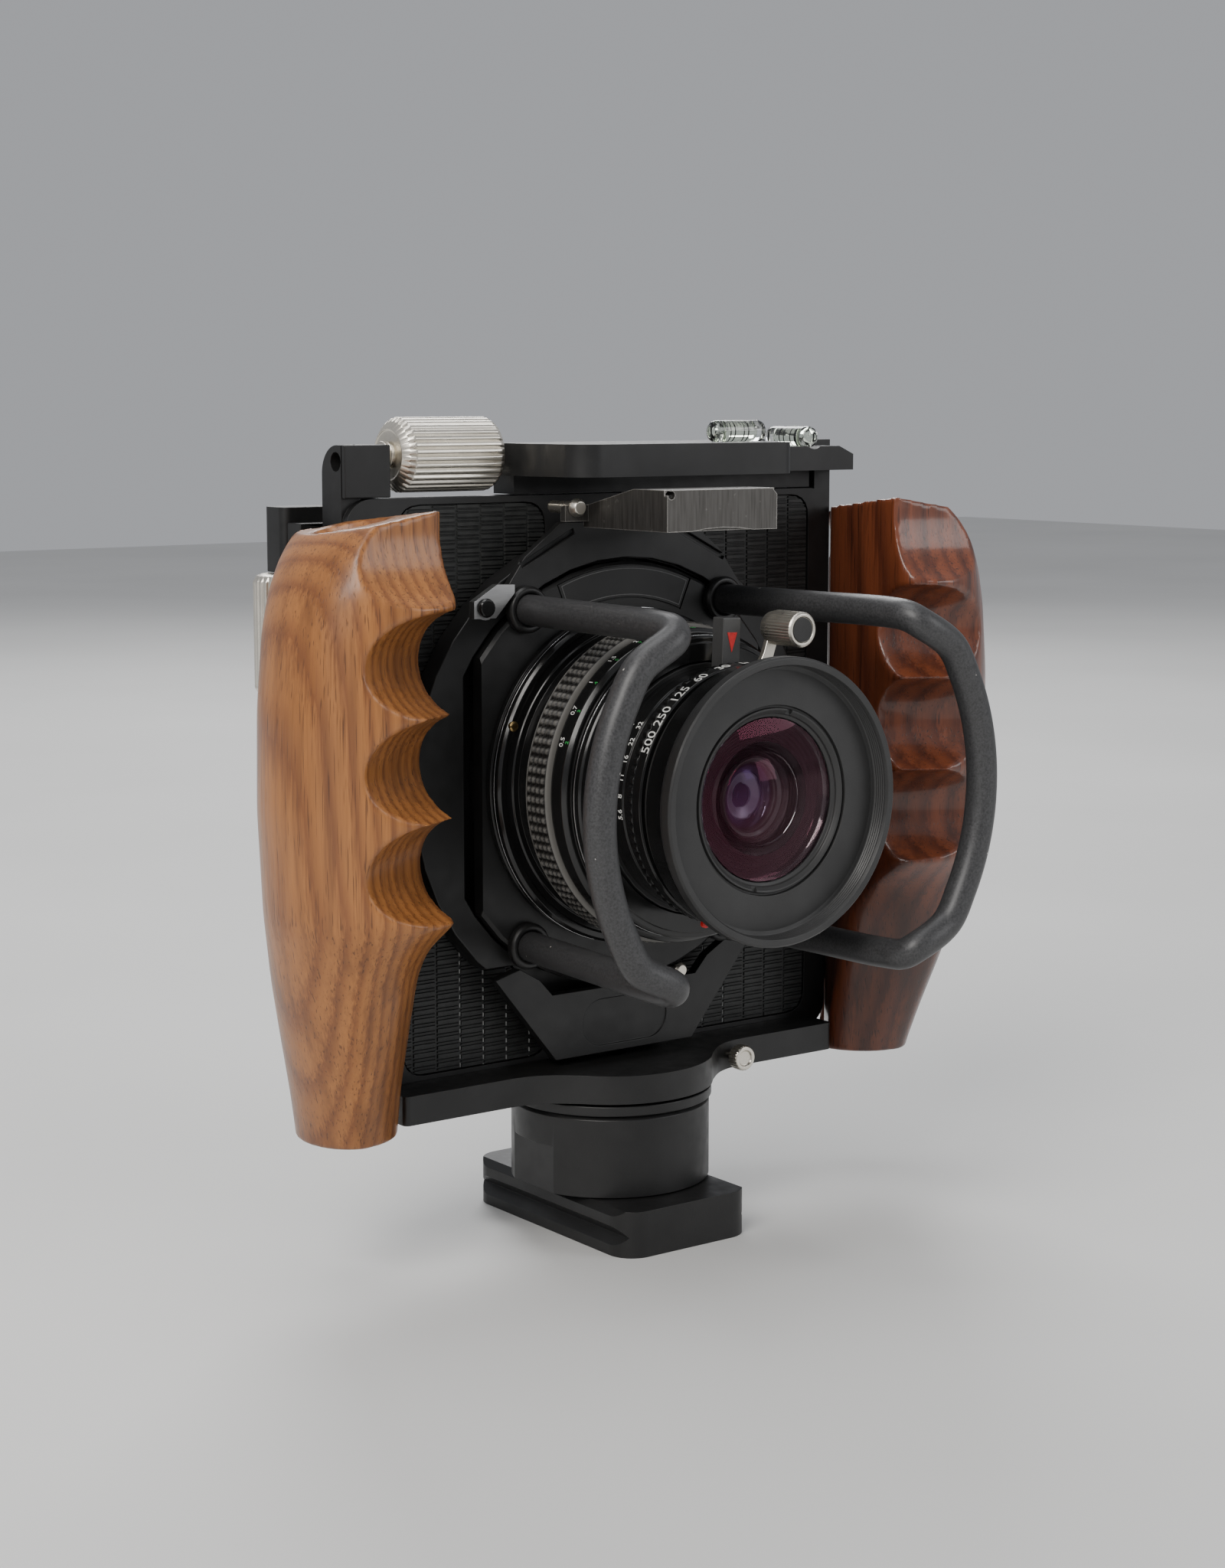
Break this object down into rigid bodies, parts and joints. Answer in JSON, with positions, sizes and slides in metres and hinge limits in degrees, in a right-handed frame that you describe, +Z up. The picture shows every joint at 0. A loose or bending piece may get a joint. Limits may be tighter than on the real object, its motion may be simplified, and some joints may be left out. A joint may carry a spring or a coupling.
{
  "type": "technical view camera with wooden grips",
  "caption": "Compact technical view camera: black metal body with shift frames, wide lens on a helical mount behind tubular guards, wooden finger grips and a rotating tripod foot.",
  "frame": {"origin": "middle of the underside of the tripod foot's dovetail plate", "axes": "the lens looks along -Y, +X is the side with the spirit levels, +Z is up"},
  "size_m": [0.2164, 0.1158, 0.2096],
  "materials": {
    "body_metal": "satin black anodised aluminium",
    "rod_metal": "satin dark grey coated steel rod",
    "sheet_metal": "warm grey sheet metal",
    "silver": "satin nickel plated knurled metal",
    "steel": "ground steel",
    "texture_rubber": "brick textured rubber covering",
    "ring_rubber": "diamond knurled rubber",
    "wood": "oiled walnut",
    "lens_glass": "coated optical glass",
    "vial_glass": "clear spirit level vial",
    "blade_metal": "blackened shutter blades",
    "index_grey": "grey index block"
  },
  "bodies": {
    "camera_body": {"body_plate": "body_metal", "insert_upper_left": "texture_rubber", "insert_upper_right": "texture_rubber", "insert_lower_left": "texture_rubber", "insert_lower_right": "texture_rubber", "guard_bar_left": "rod_metal", "guard_bar_right": "rod_metal", "grip_left": "wood", "grip_right": "wood", "grip_screw_left": "steel", "grip_screw_right": "steel", "top_bridge": "body_metal", "bottom_bridge": "body_metal", "ring_mount": "body_metal", "upper_clip": "body_metal", "lower_clip": "body_metal", "lens_panel": "body_metal", "name_plate": "body_metal", "panel_screw": "silver", "accessory_bracket": "sheet_metal", "bracket_screw": "silver", "vial_across": "vial_glass", "vial_along": "vial_glass", "shift_knob_block": "body_metal", "guide_rail_upper": "steel", "guide_rail_lower": "steel", "latch_pivot": "silver", "focus_flange": "body_metal"},
    "latch_lever": {"latch_lever": "body_metal"},
    "shift_knob": {"shift_knob": "silver"},
    "cross_slide": {"cross_frame": "body_metal", "rise_guide_left": "steel", "rise_guide_right": "steel", "rise_knob_block": "body_metal"},
    "rise_knob": {"rise_knob": "silver"},
    "rise_slide": {"rise_frame": "body_metal", "back_adapter": "body_metal", "back_latch": "body_metal"},
    "focus_ring": {"focus_ring": "ring_rubber", "scale_ring": "body_metal", "helicoid_barrel": "body_metal"},
    "lens_unit": {"lens_carrier": "body_metal", "shutter_housing": "body_metal", "shutter_blades": "blade_metal", "index_block": "index_grey", "front_barrel": "body_metal", "front_element": "lens_glass", "rear_barrel": "body_metal", "rear_element": "lens_glass"},
    "speed_ring": {"speed_ring": "body_metal"},
    "cocking_lever": {"cocking_lever": "silver"},
    "aperture_lever": {"aperture_lever": "silver"},
    "release_lever": {"release_lever": "silver"},
    "tripod_foot": {"foot_disc": "body_metal", "foot_column": "body_metal", "foot_plate": "body_metal", "pivot_bolt": "steel", "foot_screw_front": "steel", "foot_screw_rear": "steel"},
    "lock_screw": {"lock_screw": "silver"}
  },
  "joints": [
    {"name": "latch_turn", "type": "hinge", "parent": "camera_body", "child": "latch_lever", "pos_m": [-0.0446, -0.008, 0.1634], "axis": [0, 1, 0], "range_deg": [0, 26]},
    {"name": "cross_shift", "type": "slide", "parent": "camera_body", "child": "cross_slide", "axis": [1, 0, 0], "range_m": [-0.015, 0.015]},
    {"name": "shift_knob_turn", "type": "hinge", "parent": "camera_body", "child": "shift_knob", "pos_m": [-0.0452, 0.0085, 0.2004], "axis": [1, 0, 0], "range_deg": [-901, 901]},
    {"name": "rise_fall", "type": "slide", "parent": "cross_slide", "child": "rise_slide", "axis": [0, 0, 1], "range_m": [-0.012, 0.012]},
    {"name": "rise_knob_turn", "type": "hinge", "parent": "cross_slide", "child": "rise_knob", "pos_m": [-0.079, 0.0256, 0.1564], "axis": [0, 0, 1], "range_deg": [-721, 721]},
    {"name": "focus_travel", "type": "slide", "parent": "camera_body", "child": "lens_unit", "axis": [0, -1, 0], "range_m": [0, 0.0035]},
    {"name": "focus_turn", "type": "hinge", "parent": "camera_body", "child": "focus_ring", "pos_m": [0, 0, 0.1186], "axis": [0, 1, 0], "range_deg": [-1, 211]},
    {"name": "speed_select", "type": "hinge", "parent": "lens_unit", "child": "speed_ring", "pos_m": [0, 0, 0.1186], "axis": [0, 1, 0], "range_deg": [-100, 100]},
    {"name": "cocking_swing", "type": "hinge", "parent": "lens_unit", "child": "cocking_lever", "pos_m": [0, 0, 0.1186], "axis": [0, 1, 0], "range_deg": [0, 35]},
    {"name": "aperture_select", "type": "hinge", "parent": "lens_unit", "child": "aperture_lever", "pos_m": [0, 0, 0.1186], "axis": [0, 1, 0], "range_deg": [-25, 25]},
    {"name": "release_swing", "type": "hinge", "parent": "lens_unit", "child": "release_lever", "pos_m": [0, 0, 0.1186], "axis": [0, 1, 0], "range_deg": [-10, 0]},
    {"name": "foot_turn", "type": "hinge", "parent": "camera_body", "child": "tripod_foot", "pos_m": [0, 0, 0.02], "axis": [0, 0, 1], "continuous": true},
    {"name": "lock_turn", "type": "hinge", "parent": "camera_body", "child": "lock_screw", "pos_m": [0.034, -0.009, 0.0404], "axis": [0, 1, 0], "continuous": true}
  ],
  "couplings": [
    {"joint": "shift_knob_turn", "follows": "cross_shift", "rad_per_m": 1047.2},
    {"joint": "rise_knob_turn", "follows": "rise_fall", "rad_per_m": 1047.2},
    {"joint": "focus_turn", "follows": "focus_travel", "rad_per_m": 1047.2}
  ]
}
